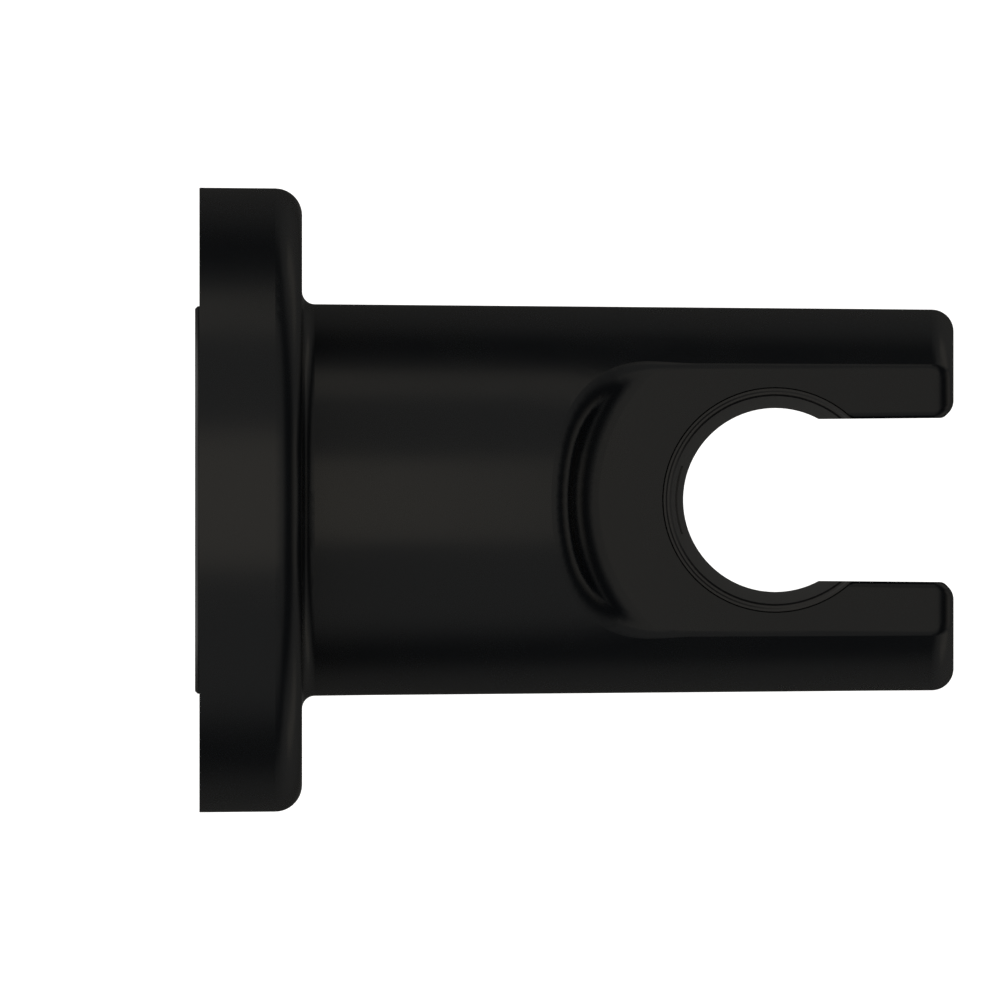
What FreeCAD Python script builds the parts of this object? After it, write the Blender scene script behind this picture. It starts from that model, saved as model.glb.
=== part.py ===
import FreeCAD, Part
import math
import os

# A fixed wall holder for a hand shower: a round flange, an arm and a forked cradle in one casting,
# a conical liner in the cradle, a wall plate behind the flange and a set screw that locks the two.
# X runs away from the wall, Z runs up along the cradle's axis, Y is sideways.
# The origin is the middle of the wall face, which is the back of the wall plate.
# Lengths are in millimetres and angles in degrees.

# Casting
draft = 0.5
back_draft = 1.0

# Wall plate
plate_diameter = 44.3
plate_proud = 0.5
plate_floor = 4.0
plate_rim = 4.2
plate_edge_chamfer = 0.3
plate_front_chamfer = 0.6
groove_depth = 1.0
wall_screw_spacing = 26.0
wall_screw_hole = 5.4
wall_screw_head = 9.6

# Flange
flange_diameter = 71.4
flange_thickness = 11.75
flange_edge_round = 3.1
flange_rim_wall = 3.0
flange_front_wall = 3.5
junction_round = 1.45

# Socket in the flange's back that takes the wall plate, and the ribs round it
socket_depth = 8.5
socket_clearance = 0.15
socket_wall = 3.0
rib_count = 8
rib_thickness = 1.8

# Arm
arm_diameter = 44.8
arm_wall = 3.8
core_end_wall = 3.4
core_end_chamfer = 2.5

# Fork
cradle_distance = 66.3
tip_reach = 86.7
flat_depth = 6.7
scoop_radius = 23.4
scoop_corner_round = 3.3
scoop_edge_round = 2.2
fork_edge_round = 0.9
slot_width = 18.4
tip_round_at_arm = 2.5
tip_round_at_flat = 2.2
tip_round_at_slot = 2.0

# Cradle liner
liner_ledge_rise = 6.75
throat_diameter = 21.0
mouth_diameter = 23.8
lip_diameter = 25.7
lip_edge_chamfer = 0.1
lip_step_height = 0.12
lip_step_run = 0.18
mouth_chamfer = 0.22
mouth_chamfer_height = 0.35
liner_foot_wall = 0.9
liner_clearance = 0.05
liner_sink = 0.08
ledge_width = 0.5
lug_width = 9.4
lug_height = 5.0
lug_depth = 1.0
lug_clearance = 0.1
detent_width = 7.8
detent_depth = 0.24
detent_height = -0.3

# Set screw
screw_diameter = 5.0
screw_recess = 4.5
screw_clearance = 0.05
screw_point_gap = 0.05
screw_mouth_chamfer = 0.4
boss_width = 10.0
hex_width = 2.5
hex_depth = 3.0

# Sizes that follow from the driving dimensions
slope = math.tan(math.radians(draft))
back_slope = math.tan(math.radians(back_draft))
flange_back = plate_proud
flange_front = flange_back + flange_thickness
socket_floor = flange_back + socket_depth
plate_thickness = socket_floor
plate_radius = plate_diameter / 2
socket_radius = plate_radius + socket_clearance
screw_x = (flange_back + socket_floor) / 2
flat_height = arm_diameter / 2 - flat_depth
ledge_height = liner_ledge_rise - arm_diameter / 2
liner_top = flat_height - liner_sink
liner_height = liner_top - ledge_height
through_radius = throat_diameter / 2 + liner_foot_wall - ledge_width
screw_mouth = flange_diameter / 2 - slope * (screw_x - flange_back)
overrun = 5.0

X_AXIS = FreeCAD.Vector(1, 0, 0)
Y_AXIS = FreeCAD.Vector(0, 1, 0)
Z_AXIS = FreeCAD.Vector(0, 0, 1)
ORIGIN = FreeCAD.Vector(0, 0, 0)
CRADLE = FreeCAD.Vector(cradle_distance, 0, 0)


def arm_radius(x):
    """The arm's outer radius at a distance from the wall."""
    return arm_diameter / 2 - slope * (x - flange_front)


def flat_level(x):
    """Height of the fork's flat top over the arm's axis."""
    return flat_height - slope * (x - cradle_distance)


def slot_half_width(x):
    """Half the slot's width, which opens towards the tip."""
    return slot_width / 2 + slope * (x - cradle_distance)


# Drawing helpers
def rounded_face(corners, place):
    """A flat face from (a, b, rounding radius) corners; place turns a and b into a point."""
    points = [place(a, b) for a, b, radius in corners]
    edges = []
    ends = []
    for i, (a, b, radius) in enumerate(corners):
        corner = points[i]
        if radius == 0:
            ends.append((corner, corner))
            continue
        to_before = (points[i - 1] - corner).normalize()
        to_after = (points[(i + 1) % len(points)] - corner).normalize()
        half_angle = to_before.getAngle(to_after) / 2
        reach = radius / math.tan(half_angle)
        start = corner + to_before * reach
        end = corner + to_after * reach
        inward = (to_before + to_after).normalize()
        middle = corner + inward * (radius / math.sin(half_angle) - radius)
        edges.append(Part.Arc(start, middle, end).toShape())
        ends.append((start, end))
    for i in range(len(ends)):
        start = ends[i][1]
        end = ends[(i + 1) % len(ends)][0]
        if start.distanceToPoint(end) > 1e-6:
            edges.append(Part.LineSegment(start, end).toShape())
    return Part.Face(Part.Wire(Part.__sortEdges__(edges)))


def turned_on_arm_axis(corners):
    """A solid turned about the arm's axis from (x, radius, rounding) corners."""
    face = rounded_face(corners, lambda x, r: FreeCAD.Vector(x, r, 0))
    return face.revolve(ORIGIN, X_AXIS, 360)


def turned_on_cradle_axis(corners):
    """A solid turned about the cradle's axis from (radius, z) corners."""
    sharp = [(r, z, 0) for r, z in corners]
    face = rounded_face(sharp, lambda r, z: CRADLE + FreeCAD.Vector(r, 0, z))
    return face.revolve(CRADLE, Z_AXIS, 360)


def turned_on_screw_axis(corners):
    """A solid turned about the set screw's axis from (radius, distance below the arm's axis) corners."""
    sharp = [(r, depth, 0) for r, depth in corners]
    face = rounded_face(sharp, lambda r, depth: FreeCAD.Vector(screw_x + r, 0, -depth))
    return face.revolve(FreeCAD.Vector(screw_x, 0, 0), Z_AXIS, 360)


def numbers_of_edges(shape, test):
    """Numbers of the shape's edges whose points all pass the test."""
    return [i + 1 for i, edge in enumerate(shape.Edges) if all(test(p) for p in edge.discretize(9))]


def rounded_edges(shape, radius_of_edge):
    """The shape with each numbered edge rounded by its own radius, in one operation."""
    document = FreeCAD.newDocument("rounding")
    base = document.addObject("Part::Feature", "base")
    base.Shape = shape
    fillet = document.addObject("Part::Fillet", "fillet")
    fillet.Base = base
    fillet.Edges = [(number, radius, radius) for number, radius in radius_of_edge.items()]
    document.recompute()
    result = fillet.Shape.copy()
    FreeCAD.closeDocument("rounding")
    return result


# Body: one casting with flange, arm and fork
def flange_and_arm():
    """Flange and arm as one turned form that narrows away from the wall."""
    flange_front_radius = flange_diameter / 2 - slope * flange_thickness
    return turned_on_arm_axis(
        [
            (flange_back, 0, 0),
            (flange_back, flange_diameter / 2, 0),
            (flange_front, flange_front_radius, flange_edge_round),
            (flange_front, arm_radius(flange_front), junction_round),
            (tip_reach, arm_radius(tip_reach), 0),
            (tip_reach, 0, 0),
        ]
    )


def scoop():
    """What is cut away over the fork: a round pan about the cradle that runs out over the tip."""
    top = arm_diameter
    rear = cradle_distance - scoop_radius - overrun
    front = tip_reach + scoop_radius
    width = 2 * scoop_radius
    pan = turned_on_cradle_axis([(0, 0), (scoop_radius, 0), (scoop_radius, top), (0, top)])
    lane_corner = CRADLE - Y_AXIS * scoop_radius
    lane = Part.makeBox(front - cradle_distance, width, top, lane_corner)
    above_flat = rounded_face(
        [(rear, flat_level(rear), 0), (front, flat_level(front), 0), (front, top, 0), (rear, top, 0)],
        lambda x, z: FreeCAD.Vector(x, -scoop_radius, z),
    ).extrude(Y_AXIS * width)
    block = pan.fuse(lane).removeSplitter().common(above_flat)
    corner = numbers_of_edges(block, lambda p: on_scoop_wall(p) and on_flat(p))
    return rounded_edges(block, {number: scoop_corner_round for number in corner})


def slot():
    """The open way from the cradle to the tip, a little wider at the tip."""
    front = tip_reach + overrun
    rear_half = slot_half_width(cradle_distance)
    front_half = slot_half_width(front)
    outline = [
        (cradle_distance, -rear_half, 0),
        (front, -front_half, 0),
        (front, front_half, 0),
        (cradle_distance, rear_half, 0),
    ]
    face = rounded_face(outline, lambda x, y: FreeCAD.Vector(x, y, -arm_diameter))
    return face.extrude(Z_AXIS * 2 * arm_diameter)


def on_arm(p):
    return abs(math.hypot(p.y, p.z) - arm_radius(p.x)) < 1e-3


def on_flat(p):
    return abs(p.z - flat_level(p.x)) < 1e-3


def on_scoop_wall(p):
    return abs(math.hypot(p.x - cradle_distance, p.y) - scoop_radius) < 1e-3


def on_slot(p):
    return abs(abs(p.y) - slot_half_width(p.x)) < 1e-3


def on_tip(p):
    return abs(p.x - tip_reach) < 1e-3


def outer_radius_of_liner(z):
    """The liner's conical outside, from its lip at the top to its foot on the ledge."""
    foot_radius = throat_diameter / 2 + liner_foot_wall
    return foot_radius + (lip_diameter / 2 - foot_radius) * (z - ledge_height) / liner_height


def inner_radius_of_liner(z):
    """The liner's conical inside, which grips the nut of the shower hose."""
    throat = throat_diameter / 2
    return throat + (mouth_diameter / 2 - throat) * (z - ledge_height) / liner_height


def cradle_seat():
    """The hole for the liner: a cone down to a narrow ledge, then straight through the underside."""
    above = flat_height + overrun
    below = -arm_diameter
    return turned_on_cradle_axis(
        [
            (0, below),
            (through_radius, below),
            (through_radius, ledge_height),
            (outer_radius_of_liner(ledge_height) + liner_clearance, ledge_height),
            (outer_radius_of_liner(above) + liner_clearance, above),
            (0, above),
        ]
    )


def on_through_hole(p):
    return abs(math.hypot(p.x - cradle_distance, p.y) - through_radius) < 1e-3


def lug_block(grow):
    """The block from the cradle's axis to the lug's end at the back, larger all round by grow."""
    half_width = lug_width / 2 + grow
    half_height = lug_height / 2 + grow
    reach = outer_radius_of_liner(0) + lug_depth + grow
    corner = CRADLE + FreeCAD.Vector(-reach, -half_width, -half_height)
    return Part.makeBox(reach, 2 * half_width, 2 * half_height, corner)


def fork(body):
    """The body with its fork cut, its edges rounded and the cradle's seat opened."""
    through_hole = Part.makeCylinder(through_radius, arm_diameter, CRADLE - Z_AXIS * arm_diameter)
    body = body.cut([scoop(), slot(), through_hole])
    tip_at_arm = numbers_of_edges(body, lambda p: on_tip(p) and on_arm(p))
    tip_at_flat = numbers_of_edges(body, lambda p: on_tip(p) and on_flat(p))
    tip_at_slot = numbers_of_edges(body, lambda p: on_tip(p) and on_slot(p))
    rear_rim = numbers_of_edges(body, lambda p: on_arm(p) and on_scoop_wall(p) and p.z > 0)
    side_edges = numbers_of_edges(body, lambda p: on_arm(p) and on_flat(p))
    slot_edges = numbers_of_edges(body, lambda p: on_slot(p) and (on_flat(p) or on_arm(p)))
    lower_rim = numbers_of_edges(body, lambda p: on_through_hole(p) and on_arm(p))
    radius_of_edge = {}
    for number in side_edges + slot_edges + lower_rim:
        radius_of_edge[number] = fork_edge_round
    for number in rear_rim:
        radius_of_edge[number] = scoop_edge_round
    for number in tip_at_arm:
        radius_of_edge[number] = tip_round_at_arm
    for number in tip_at_flat:
        radius_of_edge[number] = tip_round_at_flat
    for number in tip_at_slot:
        radius_of_edge[number] = tip_round_at_slot
    return rounded_edges(body, radius_of_edge).cut([cradle_seat(), lug_block(lug_clearance)])


def socket_and_core():
    """The socket for the wall plate and the arm's hollow behind it."""
    core_radius = arm_diameter / 2 - arm_wall
    core_end = cradle_distance - scoop_radius - core_end_wall
    end_radius = core_radius - back_slope * (core_end - socket_floor)
    return turned_on_arm_axis(
        [
            (flange_back - overrun, 0, 0),
            (flange_back - overrun, socket_radius, 0),
            (socket_floor, socket_radius, 0),
            (socket_floor, core_radius, 0),
            (core_end - core_end_chamfer, end_radius, 0),
            (core_end, end_radius - core_end_chamfer, 0),
            (core_end, 0, 0),
        ]
    )


def pockets():
    """The ring of pockets in the flange's back, parted by ribs and by the set screw's boss."""
    inner = socket_radius + socket_wall
    outer = flange_diameter / 2 - flange_rim_wall
    floor = flange_front - flange_front_wall
    taper = back_slope * (floor - flange_back)
    ring = turned_on_arm_axis(
        [
            (flange_back, inner, 0),
            (flange_back, outer, 0),
            (floor, outer - taper, 0),
            (floor, inner + taper, 0),
        ]
    )
    walls = []
    for i in range(rib_count):
        width = boss_width if i == 0 else rib_thickness
        corner = FreeCAD.Vector(flange_back, -width / 2, -flange_diameter)
        wall = Part.makeBox(flange_thickness, width, flange_diameter, corner)
        wall.rotate(ORIGIN, X_AXIS, 360 * i / rib_count)
        walls.append(wall)
    return ring.cut(walls)


def set_screw_hole():
    """The tapped hole from the underside of the flange into the socket, with a broken edge."""
    radius = screw_diameter / 2
    return turned_on_screw_axis(
        [
            (0, socket_radius - overrun),
            (radius, socket_radius - overrun),
            (radius, screw_mouth - screw_mouth_chamfer),
            (radius + screw_mouth_chamfer + overrun, screw_mouth + overrun),
            (0, screw_mouth + overrun),
        ]
    )


def holder_body():
    body = fork(flange_and_arm())
    return body.cut([socket_and_core(), pockets(), set_screw_hole()])


# Liner: a moulded conical sleeve with a stepped lip, open along the slot
def cradle_liner():
    top = liner_top
    lower_land = top - lip_step_height
    chamfer_foot = lower_land - mouth_chamfer_height
    bore = inner_radius_of_liner
    outer_land_start = lip_diameter / 2 - lip_edge_chamfer
    lower_land_end = bore(chamfer_foot) + mouth_chamfer
    land = (outer_land_start - lip_step_run - lower_land_end) / 2
    sleeve = turned_on_cradle_axis(
        [
            (bore(ledge_height), ledge_height),
            (outer_radius_of_liner(ledge_height), ledge_height),
            (outer_radius_of_liner(top - lip_edge_chamfer), top - lip_edge_chamfer),
            (outer_land_start, top),
            (outer_land_start - land, top),
            (outer_land_start - land - lip_step_run, lower_land),
            (lower_land_end, lower_land),
            (bore(chamfer_foot), chamfer_foot),
        ]
    )
    bore_core = turned_on_cradle_axis(
        [(0, ledge_height), (bore(ledge_height), ledge_height), (bore(top), top), (0, top)]
    )
    lug = lug_block(0).cut(bore_core)
    return sleeve.fuse(lug).removeSplitter().cut([slot(), detent()])


def detent():
    """The shallow upright recess at the back of the liner's bore: a small ledge that runs out upwards."""
    radius = inner_radius_of_liner(detent_height) + detent_depth
    height = liner_top - detent_height
    disc = Part.makeCylinder(radius, height, CRADLE + Z_AXIS * detent_height)
    corner = CRADLE + FreeCAD.Vector(-radius, -detent_width / 2, detent_height)
    return disc.common(Part.makeBox(radius, detent_width, height, corner))


# Wall plate: a turned cup with a groove for the set screw and two countersunk screw holes
def wall_plate():
    inner = plate_radius - plate_rim
    plate = turned_on_arm_axis(
        [
            (0, 0, 0),
            (0, plate_radius - plate_edge_chamfer, 0),
            (plate_edge_chamfer, plate_radius, 0),
            (screw_x - groove_depth, plate_radius, 0),
            (screw_x, plate_radius - groove_depth, 0),
            (screw_x + groove_depth, plate_radius, 0),
            (plate_thickness - plate_front_chamfer, plate_radius, 0),
            (plate_thickness, plate_radius - plate_front_chamfer, 0),
            (plate_thickness, inner, 0),
            (plate_floor, inner, 0),
            (plate_floor, 0, 0),
        ]
    )
    hole_radius = wall_screw_hole / 2
    head_radius = wall_screw_head / 2
    sink = head_radius - hole_radius
    holes = []
    for side in (-1, 1):
        place = FreeCAD.Vector(0, 0, side * wall_screw_spacing / 2)
        sink_start = place + X_AXIS * (plate_floor - sink)
        holes.append(Part.makeCylinder(hole_radius, plate_floor, place, X_AXIS))
        holes.append(Part.makeCone(hole_radius, head_radius, sink, sink_start, X_AXIS))
    return plate.cut(holes)


# Set screw: headless, with a cone point in the plate's groove and a hexagon socket
def set_screw():
    radius = screw_diameter / 2 - screw_clearance
    point = plate_radius - groove_depth + screw_point_gap
    end = screw_mouth - screw_recess
    screw = turned_on_screw_axis(
        [
            (0, point),
            (radius, point + radius),
            (radius, end - screw_mouth_chamfer),
            (radius - screw_mouth_chamfer, end),
            (0, end),
        ]
    )
    corner_radius = hex_width / 2 / math.cos(math.pi / 6)
    corners = []
    for i in range(7):
        turn = math.pi / 3 * i
        x = screw_x + corner_radius * math.cos(turn)
        y = corner_radius * math.sin(turn)
        corners.append(FreeCAD.Vector(x, y, -end))
    socket = Part.Face(Part.makePolygon(corners)).extrude(Z_AXIS * hex_depth)
    return screw.cut(socket)


os.makedirs("parts", exist_ok=True)
for name, shape in (
    ("holder_body", holder_body()),
    ("cradle_liner", cradle_liner()),
    ("wall_plate", wall_plate()),
    ("set_screw", set_screw()),
):
    print(name, "valid", shape.isValid(), "solids", len(shape.Solids), "volume", round(shape.Volume))
    shape.exportStep("parts/" + name + ".step")
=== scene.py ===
# %% [markdown]
# A fixed wall holder for a hand shower. One satin black casting carries everything: the flange
# that stands on the wall, the arm, and a forked cradle at its end. A moulded liner sits in the
# cradle, a wall plate hides behind the flange, and a set screw from below locks the two.
# All four are real solids with the right shape already, so this lesson keeps their meshes and
# gives them what solids lack: finish, a cut thread, paper under them and light.

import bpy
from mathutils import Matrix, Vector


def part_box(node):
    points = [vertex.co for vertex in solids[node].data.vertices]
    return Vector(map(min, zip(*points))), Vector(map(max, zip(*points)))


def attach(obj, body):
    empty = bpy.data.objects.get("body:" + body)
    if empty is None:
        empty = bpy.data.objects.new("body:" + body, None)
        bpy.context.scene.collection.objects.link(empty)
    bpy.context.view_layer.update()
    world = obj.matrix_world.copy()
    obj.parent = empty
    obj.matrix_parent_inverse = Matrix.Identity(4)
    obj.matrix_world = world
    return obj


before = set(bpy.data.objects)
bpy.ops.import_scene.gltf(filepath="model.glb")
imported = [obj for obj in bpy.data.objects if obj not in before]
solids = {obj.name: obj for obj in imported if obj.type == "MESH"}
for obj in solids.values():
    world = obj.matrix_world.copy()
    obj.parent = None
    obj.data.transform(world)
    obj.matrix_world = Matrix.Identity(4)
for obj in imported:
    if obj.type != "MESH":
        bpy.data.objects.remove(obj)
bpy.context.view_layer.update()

# %% [markdown]
# The solids are in metres: +X points away from the wall along the arm, +Z points up along the
# cradle's axis, and the origin lies on the wall. Small sizes are written in millimetres, times
# MM. The stage round the holder is large, so its sizes are written in metres.

# %% Units and the scene
import math

import bpy
from mathutils import Vector

MM = 0.001
scene = bpy.context.scene
print("solids:", {name: len(piece.data.polygons) for name, piece in solids.items()})

# %% [markdown]
# Three helpers carry the whole lesson. Colours are noted as sRGB hex values, as a colour picker
# shows them, but a shader works in linear light, so one function turns the one into the other.
# The second adds a node to a tree with its settings and its links in one line, so that a
# material reads like a short recipe. The third starts such a material.


# %% A colour, a node and a material
def linear(hex_colour):
    """An sRGB hex colour as the linear colour that a shader reads."""
    channels = [int(hex_colour[i:i + 2], 16) / 255 for i in (1, 3, 5)]
    return [c / 12.92 if c <= 0.04045 else ((c + 0.055) / 1.055) ** 2.4 for c in channels] + [1.0]


def add_node(tree, kind, links=(), values=(), **settings):
    """Adds one node with its settings.

    Links are pairs of an input and a socket, values are pairs of an input and its value.
    """
    node = tree.nodes.new(kind)
    for name, value in settings.items():
        setattr(node, name, value)
    for name, value in values:
        node.inputs[name].default_value = value
    for name, socket in links:
        tree.links.new(socket, node.inputs[name])
    return node


def material(name):
    """A new node material, with its tree and its Principled shader."""
    made = bpy.data.materials.new(name)
    made.use_nodes = True
    return made, made.node_tree, made.node_tree.nodes["Principled BSDF"]


print("middle grey #808080 is", round(linear("#808080")[0], 3), "in linear light")

# %% [markdown]
# The camera looks straight down on the holder as it hangs on the wall, with the flange at the
# left. The picture shows no perspective at all: the arm's two sides are seen equally far round.
# So the camera is orthographic, and its width in millimetres comes from the pixels per
# millimetre of the picture.

# %% Camera
pixels_per_mm = 8.75
picture_side = 1000
view_centre_x = 34.86 * MM
camera_height = 0.25
camera_data = bpy.data.cameras.new("camera")
camera_data.type = "ORTHO"
camera_data.ortho_scale = picture_side / pixels_per_mm * MM
camera_data.clip_start = 0.01
camera_data.clip_end = 10
camera = bpy.data.objects.new("camera", camera_data)
camera.location = (view_centre_x, 0, camera_height)
scene.collection.objects.link(camera)
scene.camera = camera
scene.view_settings.view_transform = "Standard"
print("the picture is", round(camera_data.ortho_scale / MM, 2), "mm wide")

# %% [markdown]
# The casting is zinc with a baked satin black coat, sprayed or dipped and cured. To the eye
# that is a deep black, a shade cooler than neutral, that shows light only as soft, broad bands,
# without a sharp mirror image. It mattes a little unevenly, in faint clouds and from grain to
# grain. A painted picture could carry that, but it would stretch over the roundings. So it
# comes from noise in the roughness, read from Object coordinates in real sizes. A lacquer's IOR
# is usually 1.5. Here it is lower, matched to the grey of the flat top.

# %% Satin black coat: its black and its sheen
cloud_size = 9 * MM
grit_size = 0.24 * MM
grit_sheen = 0.05
coat, tree, shader = material("baked_satin_black_coat_on_zinc")
shader.inputs["Base Color"].default_value = linear("#05070a")
shader.inputs["IOR"].default_value = 1.36
place = add_node(tree, "ShaderNodeTexCoord").outputs["Object"]
cloud = add_node(tree, "ShaderNodeTexNoise", [("Vector", place)],
                 [("Scale", 1 / cloud_size), ("Detail", 2.0), ("Roughness", 0.5)])
grit = add_node(tree, "ShaderNodeTexNoise", [("Vector", place)],
                [("Scale", 1 / grit_size), ("Detail", 2.0), ("Roughness", 0.6)])
matting = add_node(tree, "ShaderNodeMapRange", [("Value", cloud.outputs["Fac"])],
                   [("From Min", 0.3), ("From Max", 0.7), ("To Min", 0.245), ("To Max", 0.285)])
fine_matting = add_node(tree, "ShaderNodeMath", [(0, grit.outputs["Fac"])],
                        [(1, grit_sheen), (2, -grit_sheen / 2)], operation="MULTIPLY_ADD")
satin = add_node(tree, "ShaderNodeMath",
                 [(0, matting.outputs["Result"]), (1, fine_matting.outputs[0])], operation="ADD")
tree.links.new(satin.outputs[0], shader.inputs["Roughness"])
print("the coat's clouds are", round(cloud_size / MM, 2), "mm across")

# %% [markdown]
# The coat flows out as it cures, which leaves a faint orange peel about a millimetre across,
# with a finer tooth on it. Both are far too shallow to show as a shape: they only stir the
# edges of the bands. Real geometry for them would need millions of faces, so they are two
# bumps, one on top of the other.

# %% Satin black coat: its orange peel
peel_size = 1.1 * MM
peel_depth = 0.02 * MM
tooth_depth = 0.01 * MM
peel = add_node(tree, "ShaderNodeTexNoise", [("Vector", place)],
                [("Scale", 1 / peel_size), ("Detail", 1.0), ("Roughness", 0.4)])
flow = add_node(tree, "ShaderNodeBump", [("Height", peel.outputs["Fac"])],
                [("Strength", 0.12), ("Distance", peel_depth)])
tooth = add_node(tree, "ShaderNodeBump",
                 [("Height", grit.outputs["Fac"]), ("Normal", flow.outputs["Normal"])],
                 [("Strength", 0.10), ("Distance", tooth_depth)])
tree.links.new(tooth.outputs["Normal"], shader.inputs["Normal"])
print(coat.name, "has", len(tree.nodes), "nodes, its peel is", round(peel_size / MM, 2), "mm across")

# %% [markdown]
# The cradle's liner is black acetal, injection moulded. Its mould was spark eroded, which gives
# a fine even grain, so it is duller than the coat beside it and a touch greyer. Real grain is
# a few hundredths of a millimetre across. It is drawn coarser here, or it wouldn't show at all.

# %% Moulded liner
grain_size = 0.20 * MM
grain_depth = 0.02 * MM
acetal, tree, shader = material("moulded_black_acetal")
shader.inputs["Base Color"].default_value = linear("#101011")
shader.inputs["IOR"].default_value = 1.40
place = add_node(tree, "ShaderNodeTexCoord").outputs["Object"]
grain = add_node(tree, "ShaderNodeTexNoise", [("Vector", place)],
                 [("Scale", 1 / grain_size), ("Detail", 2.0), ("Roughness", 0.7)])
dull = add_node(tree, "ShaderNodeMapRange", [("Value", grain.outputs["Fac"])],
                [("From Min", 0.3), ("From Max", 0.7), ("To Min", 0.27), ("To Max", 0.35)])
tree.links.new(dull.outputs["Result"], shader.inputs["Roughness"])
moulded = add_node(tree, "ShaderNodeBump", [("Height", grain.outputs["Fac"])],
                   [("Strength", 0.2), ("Distance", grain_depth)])
tree.links.new(moulded.outputs["Normal"], shader.inputs["Normal"])
print(acetal.name, "has", len(tree.nodes), "nodes, its grain is", round(grain_size / MM, 2), "mm across")

# %% [markdown]
# The wall plate is a zinc casting too. Its rim and its faces were turned, so that it enters the
# flange, and then it got a thin dull black coat. Under such a coat the rings that the tool left
# still show. Cut grooves would be real geometry for marks that are hardly deeper than the coat,
# so they are bump. They run round the arm's axis, and the pattern is a noise of one number: the
# distance from that axis, plus the way along it, which carries the rings over the edge.

# %% Wall plate: the rings under its coat
ring_pitch = 0.35 * MM
ring_depth = 0.02 * MM
thin_coat, tree, shader = material("thin_black_coat_on_turned_zinc")
place = add_node(tree, "ShaderNodeTexCoord").outputs["Object"]
part = add_node(tree, "ShaderNodeSeparateXYZ", [("Vector", place)])
across = add_node(tree, "ShaderNodeCombineXYZ", [("Y", part.outputs["Y"]), ("Z", part.outputs["Z"])])
radius = add_node(tree, "ShaderNodeVectorMath", [(0, across.outputs[0])], operation="LENGTH")
along = add_node(tree, "ShaderNodeMath",
                 [(0, radius.outputs["Value"]), (1, part.outputs["X"])], operation="ADD")
way = add_node(tree, "ShaderNodeCombineXYZ", [("X", along.outputs[0])])
rings = add_node(tree, "ShaderNodeTexNoise", [("Vector", way.outputs[0])],
                 [("Scale", 1 / ring_pitch), ("Detail", 3.0), ("Roughness", 0.6)])
tool_marks = add_node(tree, "ShaderNodeBump", [("Height", rings.outputs["Fac"])],
                      [("Strength", 0.4), ("Distance", ring_depth)])
tree.links.new(tool_marks.outputs["Normal"], shader.inputs["Normal"])
print("the rings are", round(ring_pitch / MM, 2), "mm apart")

# %% [markdown]
# The coat itself is thin, so its black is a little uneven, in clouds a few millimetres across.
# It is also duller than the casting's, and duller on the rings' crests than between them.

# %% Wall plate: its thin black coat
thin_spot_size = 4 * MM
shader.inputs["IOR"].default_value = 1.45
thin_spots = add_node(tree, "ShaderNodeTexNoise", [("Vector", place)],
                      [("Scale", 1 / thin_spot_size), ("Detail", 4.0), ("Roughness", 0.6)])
tone = add_node(tree, "ShaderNodeMix", [("Factor", thin_spots.outputs["Fac"])], data_type="RGBA")
tone.inputs["A"].default_value = linear("#0d0d0e")
tone.inputs["B"].default_value = linear("#171717")
tree.links.new(tone.outputs["Result"], shader.inputs["Base Color"])
dull = add_node(tree, "ShaderNodeMapRange", [("Value", rings.outputs["Fac"])],
                [("From Min", 0.3), ("From Max", 0.7), ("To Min", 0.34), ("To Max", 0.48)])
tree.links.new(dull.outputs["Result"], shader.inputs["Roughness"])
print(thin_coat.name, "has", len(tree.nodes), "nodes")

# %% [markdown]
# The set screw is an ordinary M5 of stainless steel, turned and left bare. Only its end with the
# hexagon socket can be seen, up in its hole under the flange. The marks of its turning are a
# few hundredths of a millimetre wide, too fine to show, so an uneven roughness stands for them,
# drawn coarser than they are. That keeps the bare metal bright but not like a mirror.

# %% Stainless set screw
scratch_size = 0.15 * MM
steel, tree, shader = material("turned_stainless_steel")
shader.inputs["Base Color"].default_value = linear("#a9a8a5")
shader.inputs["Metallic"].default_value = 1.0
place = add_node(tree, "ShaderNodeTexCoord").outputs["Object"]
scratch = add_node(tree, "ShaderNodeTexNoise", [("Vector", place)],
                   [("Scale", 1 / scratch_size), ("Detail", 3.0)])
shine = add_node(tree, "ShaderNodeMapRange", [("Value", scratch.outputs["Fac"])],
                 [("To Min", 0.18), ("To Max", 0.38)])
tree.links.new(shine.outputs["Result"], shader.inputs["Roughness"])
print(steel.name, "has", len(tree.nodes), "nodes")

# %% [markdown]
# Each solid gets one material for all its faces, because each is one piece of one stuff.

# %% Give each solid its material
finishes = {"holder_body": coat, "cradle_liner": acetal, "wall_plate": thin_coat, "set_screw": steel}
for name, finish in finishes.items():
    solids[name].data.materials.clear()
    solids[name].data.materials.append(finish)
    print(name, "is now", finish.name)

# %% [markdown]
# The set screw sits 4.5 mm up its hole, and in the free part of the hole the tapped thread
# shows. A thread follows a rule, so Geometry Nodes make it. Its sizes are the tree's inputs:
# M5 has a pitch of 0.8 mm, and its ridges stand 0.42 mm into the hole. Its place comes from the
# solids: round the screw's own axis, and from just above the hole's mouth, which is the lowest
# spot of the casting. The first step is the path, a spiral on the hole's wall with one turn for
# each pitch.

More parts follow.
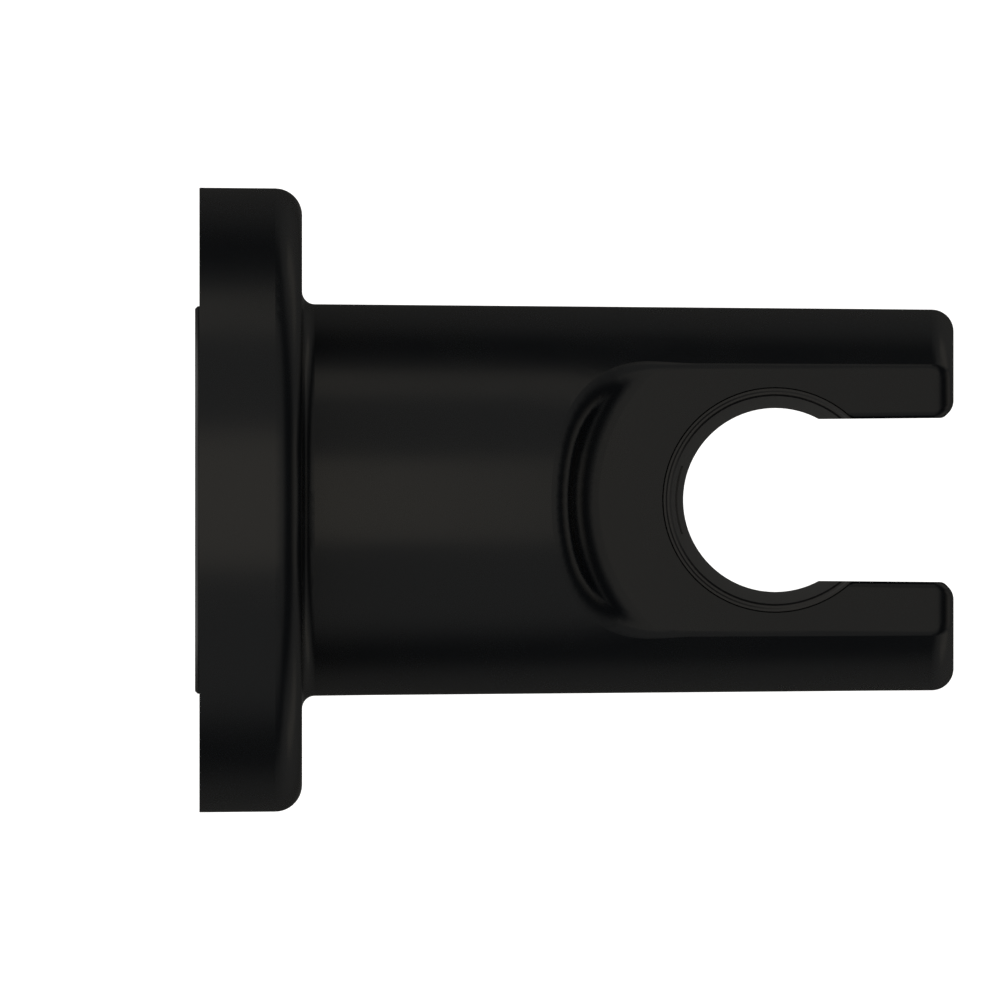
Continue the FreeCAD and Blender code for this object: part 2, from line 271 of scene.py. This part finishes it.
# %% The thread's sizes and its path
screw_low, screw_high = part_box("set_screw")
hole_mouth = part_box("holder_body")[0].z
above_mouth = 0.75 * MM
thread_sizes = {
    "Pitch": 0.8 * MM,
    "Turns": 4.2,
    "Wall Radius": 2.5 * MM,
    "Depth": 0.42 * MM,
    "Root Width": 0.70 * MM,
    "Crest Width": 0.14 * MM,
    "Low End": hole_mouth + above_mouth,
    "Axis X": (screw_low.x + screw_high.x) / 2,
}
points_per_turn = 64
tree = bpy.data.node_groups.new("tapped_thread", "GeometryNodeTree")
tree.is_modifier = True
tree.interface.new_socket("Geometry", in_out="OUTPUT", socket_type="NodeSocketGeometry")
for name in thread_sizes:
    tree.interface.new_socket(name, in_out="INPUT", socket_type="NodeSocketFloat")
tree.interface.new_socket("Material", in_out="INPUT", socket_type="NodeSocketMaterial")
given = add_node(tree, "NodeGroupInput").outputs
rise = add_node(tree, "ShaderNodeMath", [(0, given["Pitch"]), (1, given["Turns"])], operation="MULTIPLY")
spiral = add_node(tree, "GeometryNodeCurveSpiral",
                  [("Rotations", given["Turns"]), ("Start Radius", given["Wall Radius"]),
                   ("End Radius", given["Wall Radius"]), ("Height", rise.outputs[0])],
                  [("Resolution", points_per_turn)])
path = add_node(tree, "GeometryNodeSetCurveNormal", [("Curve", spiral.outputs[0])], mode="Z_UP")
axis_x, low_end = (round(thread_sizes[name] / MM, 2) for name in ("Axis X", "Low End"))
print("the thread stands round x", axis_x, "mm, upwards from z", low_end, "mm")

# %% [markdown]
# A tap runs out softly, so the ridge grows from nothing and dies again. The sweep takes its
# scale from the place along the path: the distance from the path's middle is mapped to 1 for
# most of the way and to almost 0 at both ends.

# %% The thread's run-out
path_half = 0.5
full_half = 0.44
faded = 0.02
along = add_node(tree, "GeometryNodeSplineParameter")
from_middle = add_node(tree, "ShaderNodeMath", [(0, along.outputs["Factor"])], [(1, path_half)],
                       operation="SUBTRACT")
distance = add_node(tree, "ShaderNodeMath", [(0, from_middle.outputs[0])], operation="ABSOLUTE")
run_out = add_node(tree, "ShaderNodeMapRange", [("Value", distance.outputs[0])],
                   [("From Min", full_half), ("From Max", path_half), ("To Min", 1.0), ("To Max", faded)])
turns = thread_sizes["Turns"]
print("the ridge is full over", round(2 * full_half * turns, 1), "of", turns, "turns")

# %% [markdown]
# The ridge is a trapezium, wide at the wall and narrow at its crest. It is moved until its wide
# side lies on the path, sunk into the wall by a fiftieth of its depth so that no gap opens
# there, and turned until its crest points into the hole. Then it is swept. The tree ends by
# making real mesh and giving it its material.

# %% The thread's ridge, swept along the path
foot_sunk = 0.02
profile = add_node(tree, "GeometryNodeCurvePrimitiveQuadrilateral",
                   [("Bottom Width", given["Root Width"]), ("Top Width", given["Crest Width"]),
                    ("Height", given["Depth"])], [("Offset", 0.0)], mode="TRAPEZOID")
lift = add_node(tree, "ShaderNodeMath", [(0, given["Depth"])], [(1, 0.5 - foot_sunk)],
                operation="MULTIPLY")
stand = add_node(tree, "ShaderNodeCombineXYZ", [("Y", lift.outputs[0])])
standing = add_node(tree, "GeometryNodeTransform",
                    [("Geometry", profile.outputs[0]), ("Translation", stand.outputs[0])])
turned_in = add_node(tree, "GeometryNodeTransform", [("Geometry", standing.outputs[0])],
                     [("Rotation", (0, 0, math.radians(-90)))])
sweep = add_node(tree, "GeometryNodeCurveToMesh",
                 [("Curve", path.outputs[0]), ("Profile Curve", turned_in.outputs[0]),
                  ("Scale", run_out.outputs["Result"])], [("Fill Caps", True)])
seat = add_node(tree, "ShaderNodeCombineXYZ", [("X", given["Axis X"]), ("Z", given["Low End"])])
placed = add_node(tree, "GeometryNodeTransform",
                  [("Geometry", sweep.outputs[0]), ("Translation", seat.outputs[0])])
real = add_node(tree, "GeometryNodeRealizeInstances", [("Geometry", placed.outputs[0])])
finished = add_node(tree, "GeometryNodeSetMaterial",
                    [("Geometry", real.outputs[0]), ("Material", given["Material"])])
tree.links.new(finished.outputs[0], add_node(tree, "NodeGroupOutput").inputs["Geometry"])
print("the thread's tree has", len(tree.nodes), "nodes")

# %% [markdown]
# A modifier on an empty mesh grows the thread, and its result is copied to a plain mesh that
# no longer needs the tree. The coat was sprayed after the thread was cut, so the thread is
# black like the casting round it. The last lines measure it, to see that it stands on the
# hole's wall of 2.5 mm and points inwards.


# %% The thread as a plain mesh
def grown(name, tree, values):
    """The mesh that a node tree makes with these values, as a plain object at the origin."""
    seed = bpy.data.objects.new(name + "_seed", bpy.data.meshes.new(name + "_seed"))
    modifier = seed.modifiers.new("grow", "NODES")
    modifier.node_group = tree
    inputs = [item for item in tree.interface.items_tree if item.in_out == "INPUT"]
    sockets = {item.name: item.identifier for item in inputs}
    for label, value in values.items():
        modifier[sockets[label]] = value
    scene.collection.objects.link(seed)
    shape = seed.evaluated_get(bpy.context.evaluated_depsgraph_get())
    mesh = bpy.data.meshes.new_from_object(shape)
    bpy.data.objects.remove(seed)
    mesh.name = name
    made = bpy.data.objects.new(name, mesh)
    scene.collection.objects.link(made)
    return made


thread = grown("set_screw_thread", tree, {**thread_sizes, "Material": coat})
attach(thread, "root")
points = [v.co - Vector((thread_sizes["Axis X"], 0, 0)) for v in thread.data.vertices]
reach = [math.hypot(p.x, p.y) / MM for p in points]
heights = [p.z / MM for p in points]
print("thread:", len(thread.data.polygons), "faces")
print("its radius in mm:", round(min(reach), 2), "to", round(max(reach), 2))
print("its height in mm:", round(min(heights), 2), "to", round(max(heights), 2))

# %% [markdown]
# White paper. The background is pure white, which comes from the paper's own colour and a glow
# that only camera, glossy and transmission rays see, not from more light on the object. A
# helper finds those rays, because the world will need them too.


# %% White paper
def seen_or_mirrored(tree):
    """A socket that is 1 for a camera, glossy or transmission ray and 0 for any other."""
    rays = add_node(tree, "ShaderNodeLightPath").outputs
    found = rays["Is Camera Ray"]
    for other in ("Is Glossy Ray", "Is Transmission Ray"):
        either = add_node(tree, "ShaderNodeMath", [(0, found), (1, rays[other])], operation="MAXIMUM")
        found = either.outputs[0]
    return found


paper_glow = 0.5
paper, tree, shader = material("floor_paper")
tree.nodes.remove(shader)
glow = add_node(tree, "ShaderNodeMath", [(0, seen_or_mirrored(tree))], [(1, paper_glow)],
                operation="MULTIPLY")
matt = add_node(tree, "ShaderNodeBsdfDiffuse", values=[("Color", linear("#f6f6f6"))])
light = add_node(tree, "ShaderNodeEmission", [("Strength", glow.outputs[0])])
both = add_node(tree, "ShaderNodeAddShader", [(0, matt.outputs[0]), (1, light.outputs[0])])
tree.links.new(both.outputs[0], tree.nodes["Material Output"].inputs["Surface"])
print(paper.name, "glows with", paper_glow, "where it is seen or mirrored")

# %% [markdown]
# Floor. A round sheet of that paper lies far enough below the holder that its shadow spreads
# out. It is wide enough to reach past the picture's edges when the holder is seen from low down.


# %% Pale floor
def stage_sheet(name, corners, finish):
    """One flat stage piece through these corners, in metres."""
    mesh = bpy.data.meshes.new(name)
    mesh.from_pydata(corners, [], [list(range(len(corners)))])
    mesh.materials.append(finish)
    sheet = bpy.data.objects.new(name, mesh)
    scene.collection.objects.link(sheet)
    return sheet


floor_level = -0.35
floor_radius = 4.0
floor_corners = 96
angles = [2 * math.pi * i / floor_corners for i in range(floor_corners)]
rim = [(floor_radius * math.cos(a), floor_radius * math.sin(a), floor_level) for a in angles]
stage_sheet("floor", rim, paper)
print("the floor lies", round(-floor_level / MM), "mm below the arm's axis")

# %% [markdown]
# Light tent. A black coat is drawn by what it mirrors, and here it doesn't mirror the white of
# the background: the arm's sides and the edges show soft grey areas with dark lines between
# them. So the piece stood in a tent of grey cloth, and the lines tell how that was lit. The
# cloth's light depends only on the direction in which it is seen from the holder's middle, so
# two numbers carry it: how far a spot lies towards the tip, and how far up. Both go from -1
# to 1.

# %% The direction of each spot of cloth
middle = Vector((45 * MM, 0, 0))
cloth, tree, shader = material("grey_tent_cloth")
tree.nodes.remove(shader)
place = add_node(tree, "ShaderNodeTexCoord").outputs["Object"]
offset = add_node(tree, "ShaderNodeVectorMath", [(0, place)], [(1, middle)], operation="SUBTRACT")
direction = add_node(tree, "ShaderNodeVectorMath", [(0, offset.outputs[0])], operation="NORMALIZE")
part = add_node(tree, "ShaderNodeSeparateXYZ", [("Vector", direction.outputs[0])])
forward, up = part.outputs["X"], part.outputs["Z"]
print("the cloth is lit as seen from", [round(c / MM) for c in middle], "mm")

# %% [markdown]
# The dark line lies far down at the arm's sides, but high up on the edges that face the tip.
# So the cloth has a dark gap all round that leans: it hangs low behind the flange and stands
# high before the tip. What counts is how far a spot lies up, less how far it lies forward.
# Above the gap the cloth soon reaches its full light and stays even.

# %% The tent above its dark gap
gap_ends, full_from = -0.10, 0.36
upper_light = 0.388
leaning = add_node(tree, "ShaderNodeMath", [(0, up), (1, forward)], operation="SUBTRACT")
upper = add_node(tree, "ShaderNodeMapRange", [("Value", leaning.outputs[0])],
                 [("From Min", gap_ends), ("From Max", full_from),
                  ("To Min", 0.0), ("To Max", upper_light)],
                 interpolation_type="SMOOTHSTEP")
print("the cloth above the gap shows", upper_light)

# %% [markdown]
# Below the gap the light starts again at once. The line where it starts climbs towards the tip
# too, but only up to a height of 0.11, and the light there sets in softly.

# %% The line where the tent's lower light starts
line_climb, line_abreast, line_highest = 1.15, -0.41, 0.11
soft_above, soft_below = 0.14, -0.17
climbing = add_node(tree, "ShaderNodeMath", [(0, forward)], [(1, line_climb), (2, line_abreast)],
                    operation="MULTIPLY_ADD")
line = add_node(tree, "ShaderNodeMath", [(0, climbing.outputs[0])], [(1, line_highest)],
                operation="MINIMUM")
over_line = add_node(tree, "ShaderNodeMath", [(0, up), (1, line.outputs[0])], operation="SUBTRACT")
started = add_node(tree, "ShaderNodeMapRange", [("Value", over_line.outputs[0])],
                   [("From Min", soft_above), ("From Max", soft_below)],
                   interpolation_type="SMOOTHSTEP")
print("abreast of the holder's middle the line lies at a height of", line_abreast)

# %% [markdown]
# From that line the light falls off downwards, to nothing straight below. It is half as strong
# at the side towards the wall. A faint glow lies over all the cloth, so that nothing mirrors
# pure black, and straight below it rises to a small pale patch, which shows in the bore.

# %% The tent below its dark gap
lower_light, brightest_at, gone_at = 0.374, 0.2, -0.95
wall_share, weak_until, strong_from = 0.5, -0.1, 0.3
faint_glow, patch_light = 0.031, 0.082
patch_rim, patch_heart = -0.965, -0.99
falling = add_node(tree, "ShaderNodeMapRange", [("Value", up)],
                   [("From Min", gone_at), ("From Max", brightest_at),
                    ("To Min", 0.0), ("To Max", lower_light)])
nearer = add_node(tree, "ShaderNodeMapRange", [("Value", forward)],
                  [("From Min", weak_until), ("From Max", strong_from),
                   ("To Min", wall_share), ("To Max", 1.0)])
patch = add_node(tree, "ShaderNodeMapRange", [("Value", up)],
                 [("From Min", patch_rim), ("From Max", patch_heart),
                  ("To Min", faint_glow), ("To Max", patch_light)],
                 interpolation_type="SMOOTHSTEP")
print("the cloth below the gap shows up to", lower_light, "and its patch", patch_light)

# %% [markdown]
# The three parts of the lower light are multiplied, and what shows is the sum of the upper
# light, the lower light and the patch. The cloth is a hair warmer than white, as the lamps are.

# %% The tent's light put together
lower = started.outputs[0]
for share in (falling, nearer):
    product = add_node(tree, "ShaderNodeMath", [(0, lower), (1, share.outputs[0])], operation="MULTIPLY")
    lower = product.outputs[0]
shown = upper.outputs[0]
for more in (lower, patch.outputs[0]):
    total = add_node(tree, "ShaderNodeMath", [(0, shown), (1, more)], operation="ADD")
    shown = total.outputs[0]
light = add_node(tree, "ShaderNodeEmission", [("Strength", shown)], [("Color", linear("#fffdf7"))])
tree.links.new(light.outputs[0], tree.nodes["Material Output"].inputs["Surface"])
print(cloth.name, "has", len(tree.nodes), "nodes")

# %% [markdown]
# The cloth hangs on five sides of a box. The side towards the wall stays open, so that what
# faces it mirrors the white. Only mirrored rays meet the cloth: the camera doesn't see it, it
# casts no shadow, and it lights no matt surface.

# %% Hang the tent
near, far, side, low, high = -0.36, 0.68, 0.62, -0.33, 0.80
walls = {
    "tent_left": [(near, side, low), (far, side, low), (far, side, high), (near, side, high)],
    "tent_right": [(near, -side, low), (far, -side, low), (far, -side, high), (near, -side, high)],
    "tent_front": [(far, -side, low), (far, side, low), (far, side, high), (far, -side, high)],
    "tent_roof": [(near, -side, high), (far, -side, high), (far, side, high), (near, side, high)],
    "tent_ground": [(near, -side, low), (far, -side, low), (far, side, low), (near, side, low)],
}
for name, corners in walls.items():
    wall = stage_sheet(name, corners, cloth)
    wall.visible_camera = False
    wall.visible_shadow = False
    wall.visible_diffuse = False
print("the tent has", len(walls), "walls and is", round((far - near) / MM), "mm deep")

# %% [markdown]
# Light. The world gives the even light that a white room adds. What the camera and the mirrored
# rays see of it is pure white, and what lights the surfaces is a plain 0.7, at which a colour
# comes out about as it is written.

# %% World
room_light = 0.7
shown_white = 1.0
world = bpy.data.worlds.new("pale_room")
scene.world = world
world.use_nodes = True
tree = world.node_tree
background = tree.nodes["Background"]
background.inputs["Color"].default_value = (1, 1, 1, 1)
level = add_node(tree, "ShaderNodeMapRange", [("Value", seen_or_mirrored(tree))],
                 [("To Min", room_light), ("To Max", shown_white)])
tree.links.new(level.outputs["Result"], background.inputs["Strength"])
print("the world lights with", room_light, "and shows", shown_white)

# %% [markdown]
# Inside the tent a broad lamp overhead draws the bright line along the top, and a smaller one
# closer by makes that line fade towards the tip. A strip at the left brightens one side, and a
# strip in front lights the flange's rounded edge. Three more aren't mirrored in the view from
# above, and are there for the other sides: a lamp behind the wall's place draws the arm for an
# eye in front, and two low cards beside the tip lift the flange's front and the arm's underside.
# Each lamp's strength is given as what a mirror would show of its green, the colour that the
# eye sees brightest, because a mirror image is what the coat shows. The lamps are a little
# warm, as the bright bands of the picture are.


# %% Softboxes
lamp_colour = linear("#fff4e0")[:3]


def softbox(name, place, turn, size, radiance):
    """A rectangle of light, placed in metres from the holder's middle and turned from facing down."""
    light = bpy.data.lights.new(name, "AREA")
    light.shape = "RECTANGLE"
    light.size, light.size_y = size
    light.color = lamp_colour
    light.energy = radiance / lamp_colour[1] * math.pi * size[0] * size[1]
    lamp = bpy.data.objects.new(name, light)
    lamp.location = middle + Vector(place)
    lamp.rotation_euler = [math.radians(angle) for angle in turn]
    lamp.visible_camera = False
    scene.collection.objects.link(lamp)
    print(f"{name}: {light.energy:.2f} W from {[round(c, 2) for c in lamp.location]}")


softbox("overhead", place=(-0.08, 0, 0.6), turn=(0, 0, 0), size=(0.84, 0.53), radiance=0.20)
softbox("overhead_core", place=(-0.105, 0, 0.15), turn=(0, 0, 0), size=(0.20, 0.13), radiance=0.33)
softbox("left_strip", place=(-0.29, 0.57, 0.185), turn=(-72, 0, 0), size=(0.68, 0.20), radiance=0.32)
softbox("front_strip", place=(0.6, 0, 0.022), turn=(0, 90, 0), size=(0.345, 0.30), radiance=0.20)
softbox("back_light", place=(-0.52, 0, 0.42), turn=(0, -51, 0), size=(0.22, 0.62), radiance=1.0)
for name, y, turn_z in (("low_card_left", 0.42, 45), ("low_card_right", -0.42, -45)):
    softbox(name, place=(0.42, y, -0.26), turn=(0, 114, turn_z), size=(0.26, 0.34), radiance=0.22)
